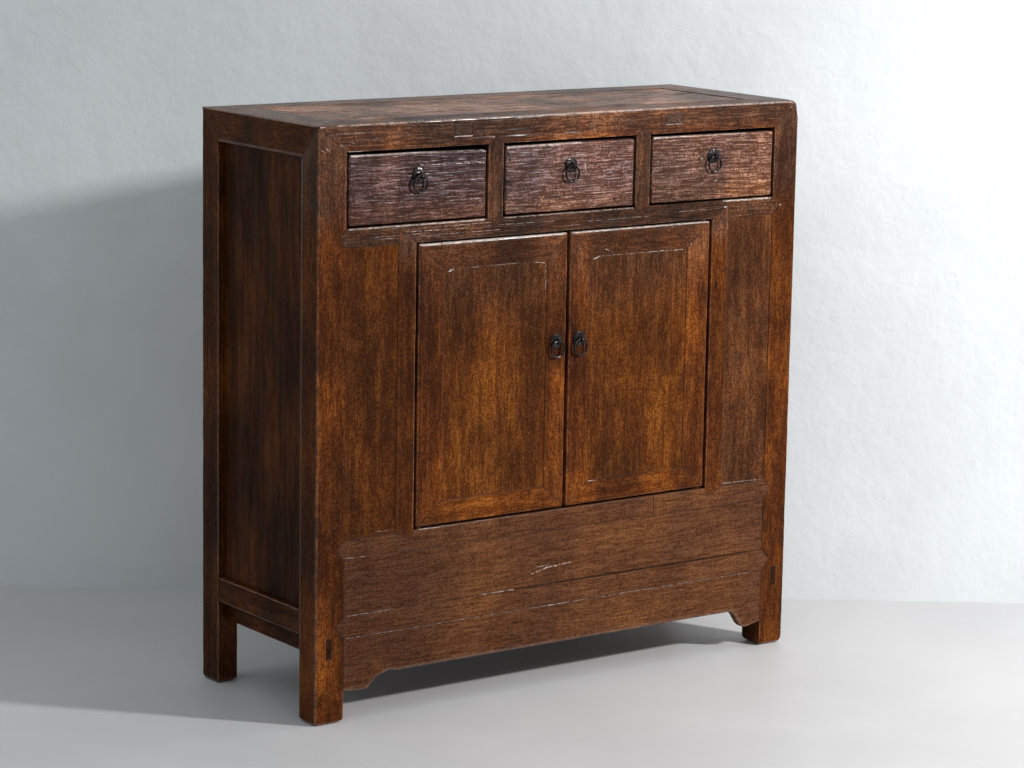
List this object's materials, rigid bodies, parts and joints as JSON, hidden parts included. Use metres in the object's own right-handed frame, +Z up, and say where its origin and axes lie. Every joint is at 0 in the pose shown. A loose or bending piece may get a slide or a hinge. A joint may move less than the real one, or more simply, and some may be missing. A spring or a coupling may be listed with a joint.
{
  "type": "buffet cabinet",
  "caption": "Low framed wooden sideboard with a row of drawers over a pair of pivot-hung doors, ring pulls, a shaped front apron and straight post legs.",
  "frame": {"origin": "on the floor under the middle of the case", "axes": "+Z up, -Y out of the front with the drawers and doors, +X to the right as seen from the front"},
  "size_m": [1.02, 0.3788, 1],
  "materials": {
    "frame_elm": "dark brown lacquer, worn and semi-gloss",
    "door_elm": "warm brown lacquer, worn and semi-gloss",
    "drawer_elm": "brown lacquer over rippled grain, glossy",
    "top_elm": "greyed brown lacquer, satin",
    "plain_wood": "bare, dusty wood",
    "iron": "forged black iron"
  },
  "bodies": {
    "carcass": {"post_front_left": "frame_elm", "post_front_right": "frame_elm", "post_rear_left": "frame_elm", "post_rear_right": "frame_elm", "top_rail_front": "frame_elm", "top_rail_rear": "frame_elm", "top_rail_left": "frame_elm", "top_rail_right": "frame_elm", "top_panel": "top_elm", "top_batten_left": "frame_elm", "top_batten_right": "frame_elm", "mid_rail": "frame_elm", "drawer_divider_left": "frame_elm", "drawer_divider_right": "frame_elm", "door_jamb_left": "frame_elm", "door_jamb_right": "frame_elm", "fixed_panel_left": "frame_elm", "fixed_panel_right": "frame_elm", "lower_rail": "frame_elm", "compartment_board": "frame_elm", "bottom_rail": "frame_elm", "front_apron": "frame_elm", "side_panel_left": "frame_elm", "side_panel_right": "frame_elm", "side_rail_left": "frame_elm", "side_rail_right": "frame_elm", "side_apron_left": "frame_elm", "side_apron_right": "frame_elm", "back_panel": "plain_wood", "rear_bottom_rail": "plain_wood", "rear_mid_rail": "plain_wood", "drawer_deck": "plain_wood", "cupboard_floor": "plain_wood", "bottom_board": "plain_wood"},
    "drawer_left": {"drawer_front_left": "drawer_elm", "drawer_box_left": "plain_wood", "pull_boss_left": "iron"},
    "ring_left": {"pull_ring_left": "iron"},
    "drawer_middle": {"drawer_front_middle": "drawer_elm", "drawer_box_middle": "plain_wood", "pull_boss_middle": "iron"},
    "ring_middle": {"pull_ring_middle": "iron"},
    "drawer_right": {"drawer_front_right": "drawer_elm", "drawer_box_right": "plain_wood", "pull_boss_right": "iron"},
    "ring_right": {"pull_ring_right": "iron"},
    "door_left": {"door_hinge_stile_left": "door_elm", "door_meeting_stile_left": "door_elm", "door_top_rail_left": "door_elm", "door_bottom_rail_left": "door_elm", "door_panel_left": "door_elm", "pull_boss_door_left": "iron"},
    "ring_door_left": {"pull_ring_door_left": "iron"},
    "door_right": {"door_hinge_stile_right": "door_elm", "door_meeting_stile_right": "door_elm", "door_top_rail_right": "door_elm", "door_bottom_rail_right": "door_elm", "door_panel_right": "door_elm", "pull_boss_door_right": "iron"},
    "ring_door_right": {"pull_ring_door_right": "iron"}
  },
  "joints": [
    {"name": "drawer_left_slide", "type": "slide", "parent": "carcass", "child": "drawer_left", "axis": [0, -1, 0], "range_m": [0, 0.26]},
    {"name": "drawer_middle_slide", "type": "slide", "parent": "carcass", "child": "drawer_middle", "axis": [0, -1, 0], "range_m": [0, 0.26]},
    {"name": "drawer_right_slide", "type": "slide", "parent": "carcass", "child": "drawer_right", "axis": [0, -1, 0], "range_m": [0, 0.26]},
    {"name": "door_left_hinge", "type": "hinge", "parent": "carcass", "child": "door_left", "pos_m": [-0.3015, -0.173, 0.55], "axis": [0, 0, -1], "range_deg": [0, 102]},
    {"name": "door_right_hinge", "type": "hinge", "parent": "carcass", "child": "door_right", "pos_m": [0.3015, -0.173, 0.55], "axis": [0, 0, 1], "range_deg": [0, 102]},
    {"name": "ring_left_swing", "type": "hinge", "parent": "drawer_left", "child": "ring_left", "pos_m": [-0.31333, -0.1896, 0.91035], "axis": [-1, 0, 0], "range_deg": [-7, 187]},
    {"name": "ring_middle_swing", "type": "hinge", "parent": "drawer_middle", "child": "ring_middle", "pos_m": [0, -0.1896, 0.91035], "axis": [-1, 0, 0], "range_deg": [-7, 187]},
    {"name": "ring_right_swing", "type": "hinge", "parent": "drawer_right", "child": "ring_right", "pos_m": [0.31333, -0.1896, 0.91035], "axis": [-1, 0, 0], "range_deg": [-7, 187]},
    {"name": "ring_door_left_swing", "type": "hinge", "parent": "door_left", "child": "ring_door_left", "pos_m": [-0.0245, -0.1896, 0.6091], "axis": [-1, 0, 0], "range_deg": [-7, 187]},
    {"name": "ring_door_right_swing", "type": "hinge", "parent": "door_right", "child": "ring_door_right", "pos_m": [0.0245, -0.1896, 0.6091], "axis": [-1, 0, 0], "range_deg": [-7, 187]}
  ]
}
